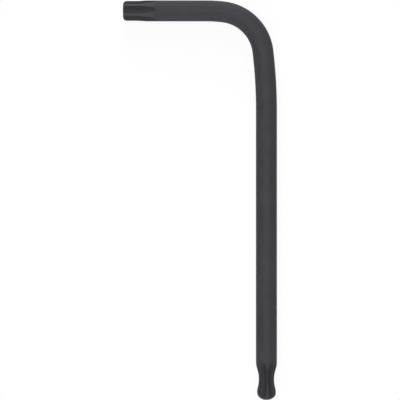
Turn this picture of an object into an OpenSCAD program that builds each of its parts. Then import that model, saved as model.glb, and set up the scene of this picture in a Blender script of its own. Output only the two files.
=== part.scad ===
// Star key: one round steel bar bent to an L, with a six-lobed star tip on the short arm and a
// six-lobed ball tip on the long arm. It lies flat: +Z is up, the long arm runs along Y and the
// short arm along X. The origin is under the middle of its outline, on the surface it lies on.
// Lengths are in millimetres and angles in degrees.

/* [Bar] */
// Diameter of the round bar
bar_d = 7; // [6.8:0.1:7.6]
// Length of the long arm, from the ball's end to the outside of the short arm
long_len = 133.2; // [90:0.1:220]
// Length of the short arm, from the star's end face to the outside of the long arm
short_len = 51.3; // [48:0.1:90]

/* [Bend] */
// Radius of the bend proper, at the bar's centreline
bend_r = 15; // [10:0.5:17]
// Radius of the slow curve that leads from the short arm into the bend, at the centreline
lead_in_r = 44; // [25:1:55]
// Angle turned in that curve
lead_in_angle = 7.6; // [2:0.1:10]
// Radius of the slow curve that leads from the bend into the long arm, at the centreline
lead_out_r = 167; // [80:1:250]
// Angle turned in that curve
lead_out_angle = 6.8; // [2:0.1:9]

/* [Star drive] */
// Width across two opposite lobes, at the star tip and at the ball's widest place
star_a = 6.65; // [6.5:0.01:6.75]
// Width across two opposite flutes, at the same places
star_b = 4.8; // [4.6:0.05:5]
// Radius of a lobe's rounded shoulders
lobe_r = 0.6; // [0.5:0.05:0.65]
// Height by which the circle of those shoulders would stand over the lobe's crest
lobe_crown = 0.05; // [0.04:0.01:0.1]

/* [Star tip] */
// Length over which the star has its full section
star_full_len = 3.8; // [2:0.1:6]
// Length over which the flutes run out into the round bar
star_run_len = 7.5; // [5:0.1:9]
// Radius of the rounded edge at the end face
star_edge_r = 1.3; // [0.6:0.1:1.6]
// Turn of the upward flute towards the outside of the bend
star_turn = 3.5; // [-30:0.5:30]

/* [Ball tip] */
// Distance from the end to the ball's widest place
ball_at = 2.6; // [2.4:0.05:2.9]
// Radius of the ball's edge, between its widest place and the dome on its end
ball_edge_r = 2.15; // [1.8:0.05:2.25]
// Distance from the end to the narrowest place of the neck
neck_at = 6.9; // [6.7:0.1:7.3]
// Width across two opposite lobes at the neck
neck_d = 5.5; // [5.3:0.05:5.7]
// Width across two opposite flutes at the neck
neck_flute_d = 3.7; // [3.5:0.05:3.9]
// Radius of the neck's hollow along the lobes
neck_r = 10; // [9:0.5:11]
// Distance from the end to where the shoulder meets the round bar
shoulder_at = 12; // [11.6:0.1:12.6]
// Distance from the end to where the flutes run out
ball_run_at = 12.9; // [12.6:0.1:13.2]
// Turn of the upward lobe towards the outside of the long arm
ball_turn = 5.5; // [-30:0.5:30]

/* [Hidden] */
$fn = 96;
steel_grey = [0.27, 0.27, 0.29];
// Number of lobes, and of flutes
lobes = 6;
// Plain round bar that a formed end keeps past its flutes
plain_land = 5;
// How far a cutter reaches past what it cuts
overrun = 0.6;
// Arcs that blend into a neighbour are drawn larger by this, so that the two cross cleanly
blend_lap = 0.01;
// Angle that a cutter's sides lean away from a lobe's middle, which keeps two cutters apart
side_lean = 10;

// The bar and the places of its two arms
bar_r = bar_d / 2;
long_x = short_len / 2 - bar_r;
short_y = long_len / 2 - bar_r;

// The bend as three arcs, each a radius and the angle it turns, from the short arm to the long one
bend_angle = 90 - lead_in_angle - lead_out_angle;
bend_arcs = [[lead_in_r, lead_in_angle], [bend_r, bend_angle], [lead_out_r, lead_out_angle]];
// Heading at the start of arc i, turning from +X towards -Y
function heading(i) = i == 0 ? 0 : heading(i - 1) + bend_arcs[i - 1][1];
// Place of the start of arc i, from the start of the first
function arc_start(i) = i == 0 ? [0, 0] : arc_start(i - 1) + bend_arcs[i - 1][0]
    * [sin(heading(i)) - sin(heading(i - 1)), cos(heading(i)) - cos(heading(i - 1))];
// Where the short arm stops being straight, and where the long arm starts to be
short_to = long_x - arc_start(3).x;
long_from = short_y + arc_start(3).y;

// Radius of an arc that starts level and climbs by rise over a run
function climb_r(run, rise) = (run ^ 2 + rise ^ 2) / (2 * rise);

// The star's section: the circles of lobe shoulders and flutes touch, half a lobe apart
half_lobe = 180 / lobes;
crest_r = star_a / 2;
floor_r = star_b / 2;
lobe_at = crest_r + lobe_crown - lobe_r;
flute_r = (lobe_r ^ 2 - floor_r ^ 2 - lobe_at ^ 2 + 2 * lobe_at * floor_r * cos(half_lobe))
    / (2 * (floor_r - lobe_at * cos(half_lobe) - lobe_r));
flute_at = floor_r + flute_r;
cutter_to = flute_at + flute_r + overrun;

// Star tip: the flutes leave the bar along one arc, and the lobes' crests climb with them
star_run_r = climb_r(star_run_len, bar_r - floor_r);
star_climb_r = star_run_r / cos(half_lobe);
star_tip_len = star_full_len + star_run_len + plain_land;
short_straight = short_to + short_len / 2 - star_tip_len;

// Ball: a dome on the axis closes the ball's edge
ball_edge_at = crest_r - ball_edge_r;
dome_r = (ball_at ^ 2 + ball_edge_at ^ 2 - ball_edge_r ^ 2) / (2 * (ball_at - ball_edge_r));
dome_edge = dome_r * ball_edge_at / (dome_r - ball_edge_r);

// Along the lobes, the ball's back and the shoulder are arcs that run into the neck's hollow
neck_lobe_r = neck_d / 2;
neck_run = neck_at - ball_at;
back_arcs_r = climb_r(neck_run, crest_r - neck_lobe_r);
back_r = back_arcs_r - neck_r;
back_to = ball_at + neck_run * back_r / back_arcs_r;
shoulder_run = shoulder_at - neck_at;
shoulder_arcs_r = climb_r(shoulder_run, bar_r - neck_lobe_r);
shoulder_r = shoulder_arcs_r - neck_r;
shoulder_from = shoulder_at - shoulder_run * shoulder_r / shoulder_arcs_r;

// Along the flutes, one arc bulges over the ball and one runs through the neck and out of the bar
neck_floor_r = neck_flute_d / 2;
neck_run_r = climb_r(ball_run_at - neck_at, bar_r - neck_floor_r);
floor_arcs_r = climb_r(neck_run, floor_r - neck_floor_r);
ball_floor_r = floor_arcs_r - neck_run_r;
floor_slope = asin(neck_run / floor_arcs_r);
// The ball ends and the neck begins where the flutes turn from the one arc to the other
ball_tip_len = ball_at + neck_run * ball_floor_r / floor_arcs_r;
ball_len = ball_run_at + plain_land;
long_straight = long_from + long_len / 2 - ball_len;

// One flute's cutting section, outward along +X: the flute's circle and what lies outside the lobes
module flute_section() {
    lobe_place = lobe_at * [cos(half_lobe), sin(half_lobe)];
    outer_place = lobe_place + (cutter_to - lobe_place.x) * [1, tan(half_lobe - side_lean)];
    difference() {
        union() {
            polygon([
                [flute_at, 0],
                lobe_place,
                outer_place,
                [outer_place.x, -outer_place.y],
                [lobe_place.x, -lobe_place.y],
            ]);
            translate([flute_at, 0]) circle(flute_r);
        }
        for (side = [-1, 1])
            translate([lobe_place.x, side * lobe_place.y]) circle(lobe_r + blend_lap);
    }
}

// A cutter whose floor is level at the origin's height, low from the axis, and climbs out of the bar
module climbing_cutter(low, arc_r, from) {
    to = acos(1 - (bar_r + overrun - low) / arc_r);
    translate([low + arc_r, 0, 0])
        rotate([90, 0, 180])
            rotate_extrude(start = from, angle = to - from)
                translate([arc_r + floor_r, 0]) mirror([1, 0]) flute_section();
}

// A cutter whose floor has the star's depth at the origin's height and falls away on both sides
module bulging_cutter(arc_r, from, to) {
    translate([floor_r - arc_r, 0, 0])
        rotate([90, 0, 0])
            rotate_extrude(start = from, angle = to - from)
                translate([arc_r - floor_r, 0]) flute_section();
}

// The first child with one flute after another cut from it, each by the second child
module fluted(count = lobes) {
    if (count == 0)
        children(0);
    else
        difference() {
            fluted(count - 1) {
                children(0);
                children(1);
            }
            rotate([0, 0, 2 * half_lobe * count]) children(1);
        }
}

// Half the outline of the star tip before it is fluted: rounded edge, crests, climb and round bar
module star_outline() {
    run_to = star_tip_len - star_full_len;
    intersection() {
        union() {
            square([crest_r, star_tip_len]);
            translate([0, star_full_len]) difference() {
                square([bar_r, run_to]);
                translate([crest_r + star_climb_r, 0]) circle(star_climb_r + blend_lap);
            }
        }
        union() {
            square([crest_r - star_edge_r, star_tip_len]);
            translate([crest_r - star_edge_r, star_edge_r]) circle(star_edge_r + blend_lap);
            translate([0, star_edge_r]) square([bar_r + overrun, star_tip_len]);
        }
    }
}

// Half the outline of the ball before it is fluted: dome, edge and back
module ball_outline() {
    intersection() {
        translate([0, -overrun]) square([bar_r, ball_tip_len + overrun]);
        translate([0, dome_r]) circle(dome_r);
        union() {
            square([dome_edge, ball_at]);
            translate([ball_edge_at, ball_at]) circle(ball_edge_r + blend_lap);
            translate([0, ball_at]) square([bar_r + overrun, ball_tip_len]);
        }
        translate([crest_r - back_r, ball_at]) circle(back_r);
    }
}

// Half the outline of the neck before it is fluted: the ball's back, hollow, shoulder and round bar
module neck_outline() {
    difference() {
        intersection() {
            translate([0, ball_tip_len]) square([bar_r, ball_len - ball_tip_len]);
            union() {
                translate([crest_r - back_r, ball_at]) circle(back_r);
                translate([0, back_to]) square([bar_r + overrun, shoulder_from - back_to]);
                translate([bar_r - shoulder_r, shoulder_at]) circle(shoulder_r + blend_lap);
                translate([0, shoulder_at]) square([bar_r + overrun, ball_len]);
            }
        }
        translate([neck_lobe_r + neck_r, neck_at]) circle(neck_r + blend_lap);
    }
}

// Places what is made along +Z from the star's end face
module at_star_end() {
    translate([-short_len / 2, short_y, bar_r])
        rotate([0, 90, 0])
            rotate([0, 0, -star_turn]) children();
}

// Places what is made along +Z from the ball's end
module at_ball_end() {
    translate([long_x, -long_len / 2, bar_r])
        rotate([-90, 0, 0])
            rotate([0, 0, ball_turn]) children();
}

// The bar along arc i of the bend, which turns from +X towards -Y
module bend_arc(i) {
    arc_r = bend_arcs[i][0];
    translate([short_to, short_y, bar_r])
        translate(arc_start(i))
            rotate([0, 0, -heading(i)])
                translate([0, -arc_r, 0])
                    rotate_extrude(start = 90, angle = -bend_arcs[i][1])
                        translate([arc_r, 0]) circle(bar_r);
}

// The star that enters the screw, with its flutes' run-out
module star_tip() {
    color(steel_grey) at_star_end() fluted() {
        rotate_extrude() star_outline();
        translate([0, 0, star_full_len]) {
            cut_len = star_full_len + overrun;
            translate([0, 0, -cut_len]) linear_extrude(cut_len) flute_section();
            climbing_cutter(floor_r, star_run_r, 0);
        }
    }
}

// The short arm's straight bar
module short_arm() {
    color(steel_grey) translate([short_to, short_y, bar_r])
        rotate([0, -90, 0]) cylinder(r = bar_r, h = short_straight);
}

// The slow curve from the short arm into the bend
module bend_lead_in() {
    color(steel_grey) bend_arc(0);
}

// The bend proper
module bend() {
    color(steel_grey) bend_arc(1);
}

// The slow curve from the bend into the long arm
module bend_lead_out() {
    color(steel_grey) bend_arc(2);
}

// The long arm's straight bar
module long_arm() {
    color(steel_grey) translate([long_x, long_from, bar_r])
        rotate([90, 0, 0]) cylinder(r = bar_r, h = long_straight);
}

// The neck between long arm and ball, where the ball's flutes run out
module ball_neck() {
    color(steel_grey) at_ball_end() fluted() {
        rotate_extrude() neck_outline();
        translate([0, 0, neck_at]) climbing_cutter(neck_floor_r, neck_run_r, -2 * floor_slope);
    }
}

// The ball that enters the screw at a slant
module ball_tip() {
    color(steel_grey) at_ball_end() fluted() {
        rotate_extrude() ball_outline();
        translate([0, 0, ball_at]) bulging_cutter(ball_floor_r, -3 * floor_slope, 2 * floor_slope);
    }
}

star_tip();
short_arm();
bend_lead_in();
bend();
bend_lead_out();
long_arm();
ball_neck();
ball_tip();
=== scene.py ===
"""Looks of a star key: one round steel bar bent to an L, with a star tip and a ball tip.

Each piece is worked out on the unbent bar, as rings of points about its centreline, and is then
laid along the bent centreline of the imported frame. Lengths are in metres, angles in radians.
"""

import math

import bpy
import numpy as np
from bpy.props import FloatProperty, FloatVectorProperty, PointerProperty
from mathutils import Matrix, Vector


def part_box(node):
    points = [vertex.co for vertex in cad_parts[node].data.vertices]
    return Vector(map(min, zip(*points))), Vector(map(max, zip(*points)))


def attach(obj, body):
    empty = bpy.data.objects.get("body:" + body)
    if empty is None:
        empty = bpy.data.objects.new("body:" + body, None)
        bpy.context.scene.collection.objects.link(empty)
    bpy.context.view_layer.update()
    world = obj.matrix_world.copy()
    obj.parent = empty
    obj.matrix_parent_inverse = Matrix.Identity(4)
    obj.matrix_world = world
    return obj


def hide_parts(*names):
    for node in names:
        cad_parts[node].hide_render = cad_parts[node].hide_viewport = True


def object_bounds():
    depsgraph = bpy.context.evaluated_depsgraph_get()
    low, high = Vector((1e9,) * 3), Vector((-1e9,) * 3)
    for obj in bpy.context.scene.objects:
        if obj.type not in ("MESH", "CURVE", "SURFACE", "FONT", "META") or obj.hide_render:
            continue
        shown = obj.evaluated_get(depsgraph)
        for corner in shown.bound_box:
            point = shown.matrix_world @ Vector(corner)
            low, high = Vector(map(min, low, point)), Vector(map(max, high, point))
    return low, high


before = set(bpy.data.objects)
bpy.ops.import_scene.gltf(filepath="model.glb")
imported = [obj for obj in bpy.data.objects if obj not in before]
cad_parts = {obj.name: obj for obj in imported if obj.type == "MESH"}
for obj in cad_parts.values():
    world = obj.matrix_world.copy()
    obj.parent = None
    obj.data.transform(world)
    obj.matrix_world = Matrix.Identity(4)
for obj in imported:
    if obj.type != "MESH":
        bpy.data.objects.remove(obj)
cad_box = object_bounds()

bl_info = {
    "name": "Star Key",
    "version": (1, 0, 0),
    "blender": (4, 5, 0),
    "location": "3D View > Sidebar > Star Key",
    "description": "Builds an L-shaped key with a six-lobed star tip and a six-lobed ball tip",
    "category": "Add Mesh",
}

# The object's body
BODY = "root"

# Corners of the frame's pieces
STAR_LOW, STAR_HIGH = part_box("star_tip")
BALL_LOW, BALL_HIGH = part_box("ball_tip")
NECK_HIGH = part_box("ball_neck")[1]
SHORT_ARM_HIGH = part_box("short_arm")[1]
LONG_ARM_LOW, LONG_ARM_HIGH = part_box("long_arm")
# Lengths of the star, of the ball, of ball and neck, and from each end to where the bar begins to curve
STAR_LENGTH = STAR_HIGH.x - STAR_LOW.x
BALL_LENGTH = BALL_HIGH.y - BALL_LOW.y
BALL_AND_NECK = NECK_HIGH.y - BALL_LOW.y
SHORT_STRAIGHT = SHORT_ARM_HIGH.x - STAR_LOW.x
LONG_STRAIGHT = LONG_ARM_HIGH.y - BALL_LOW.y

# Lobes of the star and of the ball, and the angle from one to the next
LOBES = 6
PITCH = 2 * math.pi / LOBES
# Points round a ring with and without flutes, a whole number to a lobe, and points along a small arc
FLUTED_POINTS = 288
PLAIN_POINTS = 144
ARC_POINTS = 14
# Distance from ring to ring over flutes and along plain bar, and the angle from ring to ring in a bend
FLUTED_PACE = 0.0001
PLAIN_PACE = 0.0015
BEND_PACE = math.radians(1.2)
# Rings across the star's flat end face, as shares of its radius
FACE_SHARES = (0.2, 0.4, 0.6, 0.8)
# How far the laid centreline may end from the ball's end in the frame
MOST_MISS = 0.00002

# Detail of fine and of cloudy noise, and the middle of noise and of the finish's two tones
FINE_DETAIL = 2.0
CLOUD_DETAIL = 4.0
MIDDLE = 0.5
# Width of the picture in pixels, and how many of them show a metre at the bar's height
PICTURE_WIDTH = 400
PIXELS_PER_METRE = 3000


def length(name, description, default):
    """A property that is a length."""
    return FloatProperty(
        name=name, description=description, default=default, min=0.0, unit="LENGTH", precision=5
    )


def angle(name, description, degrees):
    """A property that is an angle, with its default in degrees."""
    default = math.radians(degrees)
    return FloatProperty(
        name=name, description=description, default=default, subtype="ANGLE", unit="ROTATION"
    )


def share(name, description, default):
    """A property that is a share, from none to all."""
    return FloatProperty(
        name=name, description=description, default=default, min=0.0, max=1.0, subtype="FACTOR"
    )


def level(name, description, default):
    """A property that is a plain number, zero or more."""
    return FloatProperty(name=name, description=description, default=default, min=0.0)


def colour(name, description, default):
    """A property that is a colour."""
    return FloatVectorProperty(
        name=name, description=description, default=default, size=3, min=0.0, max=1.0, subtype="COLOR"
    )


class StarKeyBar(bpy.types.PropertyGroup):
    """Sizes of the bar and of its bend."""

    diameter: length("Diameter", "Diameter of the bar", LONG_ARM_HIGH.z - LONG_ARM_LOW.z)
    lead_in_radius: length("Lead-in radius", "Radius of the slow curve from the short arm", 0.044)
    lead_in_angle: angle("Lead-in angle", "Angle turned in that curve", 7.6)
    bend_radius: length("Bend radius", "Radius of the bend proper", 0.015)
    lead_out_radius: length("Lead-out radius", "Radius of the slow curve to the long arm", 0.167)
    lead_out_angle: angle("Lead-out angle", "Angle turned in that curve", 6.8)


class StarKeyTips(bpy.types.PropertyGroup):
    """Sizes of the star tip and of the ball tip, and how the flutes' darker tone, partly a darker formed
    finish and partly painted shade, is spread over them.
    """

    across_lobes: length("Across lobes", "Width across opposite lobes", 0.00665)
    across_flutes: length("Across flutes", "Width across opposite flutes", 0.0048)
    lobe_radius: length("Lobe radius", "Radius of a lobe's rounded shoulders", 0.0006)
    lobe_crown: length("Lobe crown", "What the shoulders' circle stands over the crest", 0.00005)
    star_full_length: length("Star length", "Length of the star's full section", 0.0038)
    star_run_length: length("Star run-out", "Length over which the star's flutes run out", 0.0075)
    star_edge_radius: length("Star edge", "Radius of the edge at the star's end face", 0.0013)
    star_turn: angle("Star turn", "Turn of the upward flute to the bend's outside", 3.5)
    ball_at: length("Ball place", "Distance from the end to the ball's widest place", 0.0026)
    ball_edge_radius: length("Ball edge", "Radius of the edge under the ball's dome", 0.00215)
    neck_at: length("Neck place", "Distance from the end to the neck's narrowest place", 0.0069)
    neck_across_lobes: length("Neck across lobes", "Width across lobes at the neck", 0.0055)
    neck_across_flutes: length("Neck across flutes", "Width across flutes at the neck", 0.0037)
    neck_radius: length("Neck hollow", "Radius of the neck's hollow along the lobes", 0.010)
    shoulder_at: length("Shoulder place", "Distance from the end to the shoulder's top", 0.012)
    ball_run_at: length("Ball run-out", "Distance from the end to where the flutes run out", 0.0129)
    ball_turn: angle("Ball turn", "Turn of the upward lobe to the bend's outside", 5.5)
    softness: length("Edge softness", "Depth over which a sharp edge is rounded", 0.00016)
    # Painted shade: the flutes get a darker tone, partly a darker formed finish and partly painted shade
    # in the hollows
    tone_depth: length("Tone depth", "Depth over which the flutes' tone sets in", 0.00008)
    star_crest_tone: share("Star crest tone", "Share of that tone on the star's crests", 0.0)
    ball_crest_tone: share("Ball crest tone", "Share of that tone on the ball's crests", 0.65)
    star_fade: share("Star fade", "Share of the star's flute depth over which the tone runs out", 0.12)
    ball_fade: share("Ball fade", "Share of the ball's flute depth over which the tone runs out", 0.7)
    # Painted light: the ball's steep flanks keep less of the flutes' dark tone, so they show lighter than
    # their shade
    ball_flank_light: share("Ball rub", "How much of that tone is rubbed off the ball's steep flanks", 0.25)


class StarKeyFinish(bpy.types.PropertyGroup):
    """Colours and grain of the black phosphate finish, with painted shade in the flutes and a painted
    highlight on the crests.
    """

    dark_colour: colour("Dark tone", "Darker tone of the finish", (0.034, 0.034, 0.039))
    light_colour: colour("Light tone", "Lighter tone of the finish", (0.053, 0.054, 0.061))
    # Painted shade in the flutes, partly a darker formed finish
    flute_tone_and_shade_colour: colour("Flute tone", "Tone inside the flutes", (0.0245, 0.0245, 0.0275))
    flute_cover: share("Flute cover", "How much of a flute has its own tone", 0.95)
    flute_grain: level("Flute grain", "How much the crystals vary that cover", 0.8)
    # Painted highlight on the crests, partly real wear
    worn_and_highlight_colour: colour("Worn tone", "Tone of crests that have been rubbed", (0.10, 0.10, 0.105))
    wear_and_highlight: share("Wear", "How much of a crest is rubbed", 0.18)
    roughness: share("Roughness", "Roughness of the finish", 0.62)
    crest_polish: share("Crest polish", "How much less rough the crests are", 0.1)
    shine: share("Shine", "Strength of the finish's mirror reflection", 0.15)
    grain_size: length("Grain size", "Size of the finish's crystals", 0.00009)
    grain_depth: length("Grain depth", "Depth of the finish's crystals", 0.000012)
    grain_tone: level("Grain tone", "How much the crystals vary the tone", 2.2)
    grain_roughness: level("Grain roughness", "How much the crystals vary the roughness", 0.35)
    cloud_size: length("Cloud size", "Size of the finish's soft clouds", 0.006)
    cloud_tone: level("Cloud tone", "How much the clouds vary the tone", 1.2)
    cloud_roughness: level("Cloud roughness", "How much the clouds vary the roughness", 0.2)
    line_width: length("Line width", "Width of the lines left by drawing the bar", 0.00012)
    line_depth: length("Line depth", "Depth of those lines", 0.000006)
    line_stretch: level("Line stretch", "How much longer than wide those lines are", 90.0)
    line_tone: level("Line tone", "How much those lines vary the tone", 1.2)


class StarKeyStage(bpy.types.PropertyGroup):
    """Floor, light and camera."""

    floor_colour: colour("Floor", "Colour of the floor and of what is round it", (1.0, 1.0, 1.0))
    bounce_colour: colour("Floor bounce", "Colour in which the floor lights the key", (0.65, 0.65, 0.65))
    floor_size: length("Floor size", "Width of the floor", 8.0)
    floor_shade: share("Floor shade", "How much of the floor's shadow shows", 0.10)
    ambient: level("Ambient", "Level of the light from all round", 0.10)
    far_lamp_level: level("Far lamp", "Light of the lamp on the short arm's side", 0.66)
    far_lamp_lean: angle("Far lamp lean", "Lean of that lamp from upright", 68.0)
    near_lamp_level: level("Near lamp", "Light of the lamp on the ball's side", 0.48)
    near_lamp_lean: angle("Near lamp lean", "Lean of that lamp from upright", 70.0)
    top_lamp_level: level("Top lamp", "Light of the lamp over the key", 0.62)
    top_lamp_lean: angle("Top lamp lean", "Lean of that lamp from upright, to the star's side", 5.0)
    lamp_distance: length("Lamp distance", "Distance of the lamps", 1.6)
    lamp_size: length("Lamp size", "Width of the lamps", 1.1)
    frame_width: length(
        "Frame width", "Width that the picture shows at the bar's height", PICTURE_WIDTH / PIXELS_PER_METRE
    )
    frame_rise: length("Frame rise", "How far the picture's middle lies towards the short arm", 0.00006)
    lens: level("Lens", "Focal length of the lens in millimetres", 250.0)


def rise(radius, run):
    """How far an arc has left its tangent after a run along it."""
    return radius - np.sqrt(radius**2 - run**2)


def climb_radius(run, height):
    """Radius of an arc that starts level and gains a height over a run."""
    return (run**2 + height**2) / (2 * height)


def soft_least(first, second, softness):
    """The lesser of two radii, with the corner between them rounded."""
    near = np.clip(1 - np.abs(first - second) / softness, 0, 1)
    return np.minimum(first, second) - softness * near**2 / 4


def steps(start, end, pace):
    """Places from start to end, both included, about a pace apart."""
    return np.linspace(start, end, math.ceil(abs(end - start) / pace) + 1)


class KeyForm:
    """The unbent key: what follows from the sizes that are set."""

    def __init__(self, bar, tips):
        self.bar_r = bar.diameter / 2
        self.tips = tips
        self.crest_r = tips.across_lobes / 2
        self.floor_r = tips.across_flutes / 2
        # The circles of lobe shoulders and flutes touch, half a pitch apart
        self.lobe_at = self.crest_r + tips.lobe_crown - tips.lobe_radius
        lobe_reach = self.lobe_at * math.cos(PITCH / 2)
        self.flute_r = (
            tips.lobe_radius**2 - self.floor_r**2 - self.lobe_at**2 + 2 * self.floor_r * lobe_reach
        ) / (2 * (self.floor_r - lobe_reach - tips.lobe_radius))
        self.star_run_r = climb_radius(tips.star_run_length, self.bar_r - self.floor_r)
        self.set_ball(tips)

    def set_ball(self, tips):
        """The arcs of the ball, its neck and its shoulder, along the lobes and along the flutes."""
        self.ball_edge_at = self.crest_r - tips.ball_edge_radius
        self.dome_r = (tips.ball_at**2 + self.ball_edge_at**2 - tips.ball_edge_radius**2) / (
            2 * (tips.ball_at - tips.ball_edge_radius)
        )
        self.dome_angle = math.asin(self.ball_edge_at / (self.dome_r - tips.ball_edge_radius))
        self.neck_r = tips.neck_across_lobes / 2
        neck_run = tips.neck_at - tips.ball_at
        back_and_neck = climb_radius(neck_run, self.crest_r - self.neck_r)
        self.back_r = back_and_neck - tips.neck_radius
        self.back_to = tips.ball_at + neck_run * self.back_r / back_and_neck
        shoulder_run = tips.shoulder_at - tips.neck_at
        shoulder_and_neck = climb_radius(shoulder_run, self.bar_r - self.neck_r)
        self.shoulder_r = shoulder_and_neck - tips.neck_radius
        self.shoulder_from = tips.shoulder_at - shoulder_run * self.shoulder_r / shoulder_and_neck
        self.neck_floor_r = tips.neck_across_flutes / 2
        self.neck_run_r = climb_radius(tips.ball_run_at - tips.neck_at, self.bar_r - self.neck_floor_r)
        floor_arcs = climb_radius(neck_run, self.floor_r - self.neck_floor_r)
        self.ball_floor_r = floor_arcs - self.neck_run_r
        self.floor_turn_at = tips.ball_at + neck_run * self.ball_floor_r / floor_arcs

    def flute_wall(self, turn, floor):
        """Distance from the axis to the flutes' walls, by the turn from a flute's middle."""
        turn = np.abs((turn + PITCH / 2) % PITCH - PITCH / 2)
        lobe_r, flute_r = self.tips.lobe_radius, self.flute_r
        shift = floor - self.floor_r
        flute_x = self.floor_r + flute_r + shift
        lobe_x = self.lobe_at * math.cos(PITCH / 2) + shift
        lobe_y = self.lobe_at * math.sin(PITCH / 2)
        touch_share = lobe_r / (lobe_r + flute_r)
        touch_turn = np.arctan2(lobe_y * (1 - touch_share), lobe_x + (flute_x - lobe_x) * touch_share)
        flute_half = np.sqrt(np.maximum(flute_r**2 - (flute_x * np.sin(turn)) ** 2, 0))
        lobe_miss = lobe_x * np.sin(turn) - lobe_y * np.cos(turn)
        lobe_half = np.sqrt(np.maximum(lobe_r**2 - lobe_miss**2, 0))
        flute_tone_and_shade = flute_x * np.cos(turn) - flute_half
        on_lobe = lobe_x * np.cos(turn) + lobe_y * np.sin(turn) + lobe_half
        return np.where(turn < touch_turn, flute_tone_and_shade, on_lobe)

    def star_outline(self):
        """Places along the star tip from its end face, and the radius there along the lobes."""
        tips = self.tips
        flat_r = self.crest_r - tips.star_edge_radius
        turn = np.linspace(0, math.pi / 2, ARC_POINTS)
        body = steps(tips.star_edge_radius, STAR_LENGTH, FLUTED_PACE)[1:]
        # The crests climb with the flutes, which lie half a pitch aside
        climb_r = self.star_run_r / math.cos(PITCH / 2)
        climb = rise(climb_r, np.clip(body - tips.star_full_length, 0, tips.star_run_length))
        crest = soft_least(self.crest_r + climb, self.bar_r, tips.softness)
        place = [np.zeros(len(FACE_SHARES)), tips.star_edge_radius * (1 - np.cos(turn)), body]
        radius = [flat_r * np.array(FACE_SHARES), flat_r + tips.star_edge_radius * np.sin(turn), crest]
        return np.concatenate(place), np.concatenate(radius)

    def star_floor(self, place):
        """Distance from the axis to the floors of the star's flutes."""
        run = np.clip(place - self.tips.star_full_length, 0, self.star_run_r)
        return self.floor_r + rise(self.star_run_r, run)

    def ball_outline(self):
        """Places along the ball from its end, and the radius there along the lobes."""
        tips = self.tips
        dome = np.linspace(0, self.dome_angle, ARC_POINTS)[1:]
        edge = np.linspace(self.dome_angle, math.pi / 2, ARC_POINTS)[1:]
        back = steps(tips.ball_at, BALL_LENGTH, FLUTED_PACE)[1:]
        place = [
            self.dome_r * (1 - np.cos(dome)),
            tips.ball_at - tips.ball_edge_radius * np.cos(edge),
            back,
        ]
        radius = [
            self.dome_r * np.sin(dome),
            self.ball_edge_at + tips.ball_edge_radius * np.sin(edge),
            self.neck_crest(back),
        ]
        return np.concatenate(place), np.concatenate(radius)

    def neck_outline(self):
        """Places along the neck, from the ball's end, and the radius there along the lobes."""
        place = steps(BALL_LENGTH, BALL_AND_NECK, FLUTED_PACE)
        return place, self.neck_crest(place)

    def neck_crest(self, place):
        """Radius along the lobes from the ball's widest place to the bar."""
        tips = self.tips
        on_back = np.clip(place, tips.ball_at, self.back_to) - tips.ball_at
        back = self.crest_r - rise(self.back_r, on_back)
        in_neck = np.clip(place, self.back_to, self.shoulder_from) - tips.neck_at
        neck = self.neck_r + rise(tips.neck_radius, in_neck)
        in_shoulder = tips.shoulder_at - np.clip(place, self.shoulder_from, tips.shoulder_at)
        shoulder = self.bar_r - rise(self.shoulder_r, in_shoulder)
        return np.select([place < self.back_to, place < self.shoulder_from], [back, neck], shoulder)

    def ball_floor(self, place):
        """Distance from the axis to the floors of the ball's flutes."""
        tips = self.tips
        on_ball = np.minimum(place, self.floor_turn_at) - tips.ball_at
        ball = self.floor_r - rise(self.ball_floor_r, on_ball)
        in_neck = np.clip(place - tips.neck_at, -self.neck_run_r, self.neck_run_r)
        neck = self.neck_floor_r + rise(self.neck_run_r, in_neck)
        return np.where(place < self.floor_turn_at, ball, neck)


class Centreline:
    """The bent centreline, from the star's end face to the ball's end."""

    def __init__(self, bar):
        self.start = np.array([STAR_LOW.x, (STAR_LOW.y + STAR_HIGH.y) / 2, bar.diameter / 2])
        bend_angle = math.pi / 2 - bar.lead_in_angle - bar.lead_out_angle
        self.arcs = (
            (bar.lead_in_radius, bar.lead_in_angle),
            (bar.bend_radius, bend_angle),
            (bar.lead_out_radius, bar.lead_out_angle),
        )
        self.arc_starts = [SHORT_STRAIGHT]
        for radius, turned in self.arcs:
            self.arc_starts.append(self.arc_starts[-1] + radius * turned)
        self.total = self.arc_starts[-1] + LONG_STRAIGHT
        end = self.at(np.array([self.total]))[0][0]
        ball_end = np.array([(BALL_LOW.x + BALL_HIGH.x) / 2, BALL_LOW.y, bar.diameter / 2])
        if np.linalg.norm(end - ball_end) > MOST_MISS:
            raise RuntimeError(f"The bend's sizes lead to {end} and not to the ball's end {ball_end}")

    def at(self, along):
        """Points of the centreline, and the directions there that point to the bend's outside."""
        first = np.minimum(along, SHORT_STRAIGHT)
        last = np.maximum(along - self.arc_starts[-1], 0)
        x = self.start[0] + first
        y = self.start[1] - last
        heading = np.zeros_like(along)
        headed = 0.0
        for (radius, turned), begun in zip(self.arcs, self.arc_starts):
            turn = np.clip((along - begun) / radius, 0, turned)
            x = x + radius * (np.sin(headed + turn) - math.sin(headed))
            y = y + radius * (np.cos(headed + turn) - math.cos(headed))
            heading = heading + turn
            headed += turned
        outside = np.stack([np.sin(heading), np.cos(heading), np.zeros_like(heading)], axis=-1)
        return np.stack([x, y, np.full_like(x, self.start[2])], axis=-1), outside


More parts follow.
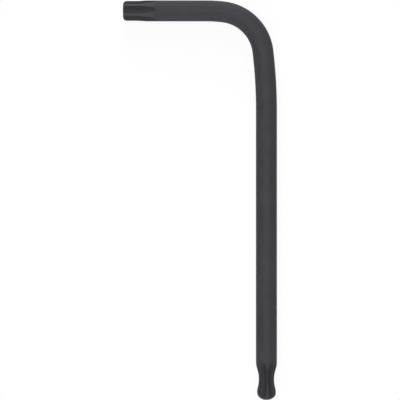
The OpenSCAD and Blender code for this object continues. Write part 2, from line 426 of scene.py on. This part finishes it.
class Rings:
    """Rings of points about the unbent bar, with what the finish needs to know at each point."""

    def __init__(self, along, turn, radius, flute_tone_and_shade, on_crest):
        self.along = along
        self.turn = turn
        self.radius = radius
        self.flute_tone_and_shade = flute_tone_and_shade
        self.on_crest = on_crest

    @classmethod
    def plain(cls, form, along):
        """Rings of the round bar."""
        turn = np.linspace(0, 2 * math.pi, PLAIN_POINTS, endpoint=False)
        nothing = np.zeros((len(along), len(turn)))
        return cls(along, turn, nothing + form.bar_r, nothing, nothing)

    @classmethod
    def fluted(cls, form, along, crest, floor, flute_turn, crest_tone, fade, flank_light=0.0):
        """Rings of a formed end, from the radii along its lobes and along the floors of its flutes.

        The flutes get a darker tone, partly a darker formed finish and partly painted shade, and the
        crests have a share of it.
        That tone fades over a share of the flutes' depth where they run out, and some of it is taken off
        their flanks, most where they are steep, as painted light that evens out the shade there.
        """
        from_flute = np.linspace(0, 2 * math.pi, FLUTED_POINTS, endpoint=False)
        crest, floor = crest[:, None], floor[:, None]
        wall = form.flute_wall(from_flute, floor)
        radius = soft_least(crest, wall, form.tips.softness)
        below = np.clip((crest - wall) / form.tips.tone_depth, 0, 1)
        steep = np.clip(np.abs(np.gradient(wall, from_flute, axis=1)) / wall, 0, 1)
        # Painted light: steep flanks keep less of the dark tone, which evens out their shade
        toned = (crest_tone + (1 - crest_tone) * below) * (1 - flank_light * steep * below)
        depth_share = np.clip((crest - floor) / (form.crest_r - form.floor_r), 0, 1)
        flute_tone_and_shade = toned * np.clip(depth_share / fade, 0, 1)
        # Where the crests get their painted highlight, partly real wear, and their polish
        on_crest = (1 - crest_tone) * (1 - below) * depth_share
        return cls(along, from_flute + flute_turn, radius, flute_tone_and_shade, on_crest)

    def unbent(self):
        """The points with the bar's axis along Z, up along Y and the bend's outside along X."""
        x = self.radius * np.sin(self.turn)
        y = self.radius * np.cos(self.turn)
        return np.stack([x, y, np.broadcast_to(self.along[:, None], x.shape)], axis=-1)

    def laid(self, centreline):
        """The points about the bent centreline."""
        middle, outside = centreline.at(self.along)
        up = np.array([0.0, 0.0, 1.0])
        unbent = self.unbent()
        return middle[:, None] + unbent[..., :1] * outside[:, None] + unbent[..., 1:2] * up


def set_attribute(mesh, name, kind, field, values):
    """Stores one value for each point of a mesh, for the finish to read."""
    attribute = mesh.attributes.new(name, kind, "POINT")
    attribute.data.foreach_set(field, np.ascontiguousarray(values, dtype=np.float32).ravel())


def add_piece(context, node, centreline, rings, cut_ends):
    """Makes the closed piece that stands for a node of the frame, with sharp rims at its cut ends."""
    ring_count, point_count = rings.radius.shape
    points = rings.laid(centreline).reshape(-1, 3)
    unbent = rings.unbent().reshape(-1, 3)
    middles = centreline.at(rings.along[[0, -1]])[0]
    unbent_middles = np.zeros((2, 3))
    unbent_middles[:, 2] = rings.along[[0, -1]]
    first_middle = ring_count * point_count
    last_middle = first_middle + 1
    last_ring = first_middle - point_count
    faces = []
    for j in range(point_count):
        after = (j + 1) % point_count
        faces.append((first_middle, j, after))
        faces.append((last_middle, last_ring + after, last_ring + j))
        for low in range(0, last_ring, point_count):
            high = low + point_count
            faces.append((low + j, high + j, high + after, low + after))
    piece_name = f"key_{node}"
    mesh = bpy.data.meshes.new(piece_name)
    mesh.from_pydata(np.concatenate([points, middles]).tolist(), [], faces)
    mesh.shade_smooth()
    rims = [range(0, point_count), range(last_ring, first_middle)]
    cut_rims = [set(rim) for rim, is_cut in zip(rims, cut_ends) if is_cut]
    for edge in mesh.edges:
        edge.use_edge_sharp = any(rim.issuperset(edge.vertices) for rim in cut_rims)
    set_attribute(mesh, "unbent", "FLOAT_VECTOR", "vector", np.concatenate([unbent, unbent_middles]))
    bare_middles = np.zeros(2)
    # Share of the flutes' darker tone at each point, partly painted shade
    set_attribute(mesh, "flute_tone_and_shade", "FLOAT", "value", np.append(rings.flute_tone_and_shade, bare_middles))
    set_attribute(mesh, "on_crest", "FLOAT", "value", np.append(rings.on_crest, bare_middles))
    mesh.materials.append(black_phosphate(context.scene.star_key_finish))
    if mesh.validate():
        raise RuntimeError(f"The mesh of {piece_name} has faulty faces")
    piece = bpy.data.objects.new(piece_name, mesh)
    context.scene.collection.objects.link(piece)
    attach(piece, BODY)
    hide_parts(node)


class Value:
    """A shader socket that Python's operators do sums on, each sum a Math node."""

    def __init__(self, recipe, socket):
        self.recipe = recipe
        self.socket = socket

    def sum_of(self, operation, first, second):
        """The output of a Math node."""
        inputs = {0: first, 1: second}
        return self.recipe.node("ShaderNodeMath", {"operation": operation}, inputs)["Value"]

    def __add__(self, other):
        return self.sum_of("ADD", self, other)

    def __radd__(self, other):
        return self.sum_of("ADD", other, self)

    def __sub__(self, other):
        return self.sum_of("SUBTRACT", self, other)

    def __rsub__(self, other):
        return self.sum_of("SUBTRACT", other, self)

    def __mul__(self, other):
        return self.sum_of("MULTIPLY", self, other)

    def __rmul__(self, other):
        return self.sum_of("MULTIPLY", other, self)


class Recipe:
    """The nodes of one material or world."""

    def __init__(self, owner):
        owner.use_nodes = True
        self.tree = owner.node_tree
        self.tree.nodes.clear()

    def node(self, kind, settings, inputs):
        """Adds a node, sets it up, fills or links its sockets and gives its outputs by name."""
        node = self.tree.nodes.new(kind)
        for name, value in settings.items():
            setattr(node, name, value)
        for key, value in inputs.items():
            shown = [socket for socket in node.inputs if socket.enabled]
            socket = shown[key] if isinstance(key, int) else next(s for s in shown if s.name == key)
            if isinstance(value, Value):
                self.tree.links.new(value.socket, socket)
            else:
                socket.default_value = value
        return {socket.name: Value(self, socket) for socket in node.outputs if socket.enabled}

    def attribute(self, name, output):
        """A value that a mesh stores at its points."""
        return self.node("ShaderNodeAttribute", {"attribute_name": name}, {})[output]

    def noise(self, place, size, detail):
        """Soft random values about 0 that change over a size."""
        inputs = {"Vector": place, "Scale": 1 / size, "Detail": detail}
        return self.node("ShaderNodeTexNoise", {"noise_dimensions": "3D"}, inputs)["Fac"] - MIDDLE

    def stretched(self, place, scale):
        """A place with each of its axes scaled."""
        inputs = {0: place, 1: scale}
        return self.node("ShaderNodeVectorMath", {"operation": "MULTIPLY"}, inputs)["Vector"]

    def mixed(self, first, second, factor):
        """A colour between two others."""
        settings = {"data_type": "RGBA", "clamp_factor": True}
        inputs = {"Factor": factor, "A": first, "B": second}
        return self.node("ShaderNodeMix", settings, inputs)["Result"]


def opaque(rgb):
    """A colour as a socket takes it."""
    return (*rgb, 1.0)


def black_phosphate(finish):
    """The finish of the whole key: fine dark crystals over drawn steel, darkened in the flutes, partly as
    painted shade, and lightened on the crests, partly as wear and partly as a painted highlight.
    """
    name = "black_phosphate"
    if name in bpy.data.materials:
        return bpy.data.materials[name]
    material = bpy.data.materials.new(name)
    recipe = Recipe(material)
    unbent = recipe.attribute("unbent", "Vector")
    flute_tone_and_shade = recipe.attribute("flute_tone_and_shade", "Fac")
    on_crest = recipe.attribute("on_crest", "Fac")
    grain = recipe.noise(unbent, finish.grain_size, FINE_DETAIL)
    cloud = recipe.noise(unbent, finish.cloud_size, CLOUD_DETAIL)
    # The lines of drawing end where the flutes were formed
    line_place = recipe.stretched(unbent, (1.0, 1.0, 1 / finish.line_stretch))
    line = recipe.noise(line_place, finish.line_width, FINE_DETAIL) * (1 - flute_tone_and_shade)
    tone = MIDDLE + finish.cloud_tone * cloud + finish.grain_tone * grain + finish.line_tone * line
    bar = recipe.mixed(opaque(finish.dark_colour), opaque(finish.light_colour), tone)
    # Painted shade: the flutes are darkened, partly a darker formed finish and partly painted shade in the
    # hollows
    flute_tone_and_shade_share = flute_tone_and_shade * (finish.flute_cover + finish.flute_grain * grain)
    fluted = recipe.mixed(bar, opaque(finish.flute_tone_and_shade_colour), flute_tone_and_shade_share)
    # Painted highlight on the crests, partly real wear: they are lightened
    worn_and_highlight_share = on_crest * finish.wear_and_highlight * (1 + grain)
    rubbed = recipe.mixed(fluted, opaque(finish.worn_and_highlight_colour), worn_and_highlight_share)
    roughened = finish.cloud_roughness * cloud + finish.grain_roughness * grain
    roughness = finish.roughness + roughened - finish.crest_polish * on_crest
    height = grain * finish.grain_depth + line * finish.line_depth
    bump_inputs = {"Strength": 1.0, "Distance": 1.0, "Height": height}
    bump = recipe.node("ShaderNodeBump", {}, bump_inputs)["Normal"]
    shader = recipe.node(
        "ShaderNodeBsdfPrincipled",
        {},
        {
            "Base Color": rubbed,
            "Roughness": roughness,
            "Normal": bump,
            "Specular IOR Level": finish.shine,
        },
    )["BSDF"]
    recipe.node("ShaderNodeOutputMaterial", {}, {"Surface": shader})
    return material


def seen_directly(recipe):
    """1 for rays that see the surroundings: from the camera, off gloss and through glass."""
    path = recipe.node("ShaderNodeLightPath", {}, {})
    return path["Is Camera Ray"] + path["Is Glossy Ray"] + path["Is Transmission Ray"]


def floor_finish(stage):
    """A matte floor that shows as its own colour, with a share of the shadow on it."""
    material = bpy.data.materials.new("pale_floor")
    recipe = Recipe(material)
    seen = seen_directly(recipe)
    tone = recipe.mixed(opaque(stage.bounce_colour), opaque(stage.floor_colour), seen)
    matte = recipe.node("ShaderNodeBsdfDiffuse", {}, {"Color": tone})["BSDF"]
    glow = {"Color": opaque(stage.floor_colour), "Strength": 1.0}
    plain = recipe.node("ShaderNodeEmission", {}, glow)["Emission"]
    shown = seen * (1 - stage.floor_shade)
    floor = recipe.node("ShaderNodeMixShader", {}, {0: shown, 1: matte, 2: plain})["Shader"]
    recipe.node("ShaderNodeOutputMaterial", {}, {"Surface": floor})
    return material


def add_floor(context, stage):
    """Lays the floor under the key."""
    half = stage.floor_size / 2
    low = cad_box[0].z
    corners = [(-half, -half, low), (half, -half, low), (half, half, low), (-half, half, low)]
    mesh = bpy.data.meshes.new("floor")
    mesh.from_pydata(corners, [], [(0, 1, 2, 3)])
    mesh.materials.append(floor_finish(stage))
    floor = bpy.data.objects.new("floor", mesh)
    context.scene.collection.objects.link(floor)


def add_surroundings(context, stage):
    """Sets even light from all round, which shows as the floor's colour."""
    world = bpy.data.worlds.new("studio")
    recipe = Recipe(world)
    strength = stage.ambient + (1 - stage.ambient) * seen_directly(recipe)
    inputs = {"Color": opaque(stage.floor_colour), "Strength": strength}
    light = recipe.node("ShaderNodeBackground", {}, inputs)["Background"]
    recipe.node("ShaderNodeOutputWorld", {}, {"Surface": light})
    context.scene.world = world


def add_lamps(context, stage):
    """Hangs three wide soft lamps: beyond the short arm, beyond the ball and over the key."""
    lamps = {
        "far_lamp": (stage.far_lamp_level, stage.far_lamp_lean, (0, 1)),
        "near_lamp": (stage.near_lamp_level, stage.near_lamp_lean, (0, -1)),
        "top_lamp": (stage.top_lamp_level, stage.top_lamp_lean, (-1, 0)),
    }
    for name, (lamp_level, lean, (side_x, side_y)) in lamps.items():
        lamp = bpy.data.lights.new(name, "AREA")
        lamp.size = stage.lamp_size
        # The power at which a white surface that faces the lamp shows that level
        lamp.energy = lamp_level * (math.pi * stage.lamp_distance) ** 2
        holder = bpy.data.objects.new(name, lamp)
        aside = stage.lamp_distance * math.sin(lean)
        holder.location = (side_x * aside, side_y * aside, stage.lamp_distance * math.cos(lean))
        holder.rotation_euler = (-side_y * lean, side_x * lean, 0)
        holder.visible_camera = False
        context.scene.collection.objects.link(holder)


def add_camera(context, stage):
    """Sets the camera straight above the key, with the short arm at the top of the picture."""
    camera = bpy.data.cameras.new("camera")
    camera.lens = stage.lens
    distance = stage.frame_width * stage.lens / camera.sensor_width
    bar_middle = context.scene.star_key_bar.diameter / 2
    holder = bpy.data.objects.new("camera", camera)
    holder.location = (0, stage.frame_rise, bar_middle + distance)
    context.scene.collection.objects.link(holder)
    context.scene.camera = holder


class STARKEY_OT_star_tip(bpy.types.Operator):
    """Adds the six-lobed star on the end of the short arm"""

    bl_idname = "starkey.star_tip"
    bl_label = "Star tip"

    def execute(self, context):
        bar = context.scene.star_key_bar
        tips = context.scene.star_key_tips
        form = KeyForm(bar, tips)
        place, crest = form.star_outline()
        floor = form.star_floor(place)
        tones = tips.star_crest_tone, tips.star_fade
        rings = Rings.fluted(form, place, crest, floor, tips.star_turn, *tones)
        add_piece(context, "star_tip", Centreline(bar), rings, (False, True))
        return {"FINISHED"}


class STARKEY_OT_arms(bpy.types.Operator):
    """Adds the straight bars of the short and the long arm"""

    bl_idname = "starkey.arms"
    bl_label = "Arms"

    def execute(self, context):
        bar = context.scene.star_key_bar
        form = KeyForm(bar, context.scene.star_key_tips)
        line = Centreline(bar)
        spans = {
            "short_arm": (STAR_LENGTH, SHORT_STRAIGHT),
            "long_arm": (line.arc_starts[-1], line.total - BALL_AND_NECK),
        }
        for node, (start, end) in spans.items():
            rings = Rings.plain(form, steps(start, end, PLAIN_PACE))
            add_piece(context, node, line, rings, (True, True))
        return {"FINISHED"}


class STARKEY_OT_bend(bpy.types.Operator):
    """Adds the bend, with the slow curves that lead into it and out of it"""

    bl_idname = "starkey.bend"
    bl_label = "Bend"

    def execute(self, context):
        bar = context.scene.star_key_bar
        form = KeyForm(bar, context.scene.star_key_tips)
        line = Centreline(bar)
        nodes = ("bend_lead_in", "bend", "bend_lead_out")
        for node, (radius, _), start, end in zip(nodes, line.arcs, line.arc_starts, line.arc_starts[1:]):
            pace = min(radius * BEND_PACE, PLAIN_PACE)
            add_piece(context, node, line, Rings.plain(form, steps(start, end, pace)), (True, True))
        return {"FINISHED"}


class STARKEY_OT_ball_end(bpy.types.Operator):
    """Adds the six-lobed ball on the end of the long arm, and its neck"""

    bl_idname = "starkey.ball_end"
    bl_label = "Ball end"

    def execute(self, context):
        bar = context.scene.star_key_bar
        tips = context.scene.star_key_tips
        form = KeyForm(bar, tips)
        line = Centreline(bar)
        turn = tips.ball_turn + PITCH / 2
        # The ball's flank share is painted light on its steep flanks
        tones = tips.ball_crest_tone, tips.ball_fade, tips.ball_flank_light
        outlines = {"ball_tip": form.ball_outline(), "ball_neck": form.neck_outline()}
        for node, (place, crest) in outlines.items():
            # From the neck towards the end, the way that the centreline runs
            place, crest = place[::-1], crest[::-1]
            floor = form.ball_floor(place)
            rings = Rings.fluted(form, line.total - place, crest, floor, turn, *tones)
            add_piece(context, node, line, rings, (True, node == "ball_neck"))
        return {"FINISHED"}


class STARKEY_OT_stage(bpy.types.Operator):
    """Adds the floor, the light and the camera"""

    bl_idname = "starkey.stage"
    bl_label = "Stage"

    def execute(self, context):
        stage = context.scene.star_key_stage
        add_floor(context, stage)
        add_surroundings(context, stage)
        add_lamps(context, stage)
        add_camera(context, stage)
        context.scene.view_settings.view_transform = "Standard"
        return {"FINISHED"}


class STARKEY_PT_panel(bpy.types.Panel):
    """Lists the key's sizes, colours and pieces"""

    bl_idname = "STARKEY_PT_panel"
    bl_label = "Star Key"
    bl_space_type = "VIEW_3D"
    bl_region_type = "UI"
    bl_category = "Star Key"

    def draw(self, context):
        for group_name in GROUPS:
            group = getattr(context.scene, group_name)
            column = self.layout.column(align=True)
            for name in group.__annotations__:
                column.prop(group, name)
        for operator in OPERATORS:
            self.layout.operator(operator.bl_idname)


GROUPS = {
    "star_key_bar": StarKeyBar,
    "star_key_tips": StarKeyTips,
    "star_key_finish": StarKeyFinish,
    "star_key_stage": StarKeyStage,
}
OPERATORS = (
    STARKEY_OT_star_tip,
    STARKEY_OT_arms,
    STARKEY_OT_bend,
    STARKEY_OT_ball_end,
    STARKEY_OT_stage,
)
CLASSES = (*GROUPS.values(), *OPERATORS, STARKEY_PT_panel)


def register():
    """Registers the classes and gives each scene its groups of properties."""
    for cls in CLASSES:
        bpy.utils.register_class(cls)
    for name, group in GROUPS.items():
        setattr(bpy.types.Scene, name, PointerProperty(type=group))


def unregister():
    """Takes back what register did."""
    for name in GROUPS:
        delattr(bpy.types.Scene, name)
    for cls in reversed(CLASSES):
        bpy.utils.unregister_class(cls)


def main():
    """Builds the key and its stage."""
    register()
    bpy.ops.starkey.star_tip()
    bpy.ops.starkey.arms()
    bpy.ops.starkey.bend()
    bpy.ops.starkey.ball_end()
    bpy.ops.starkey.stage()


if __name__ == "__main__":
    main()
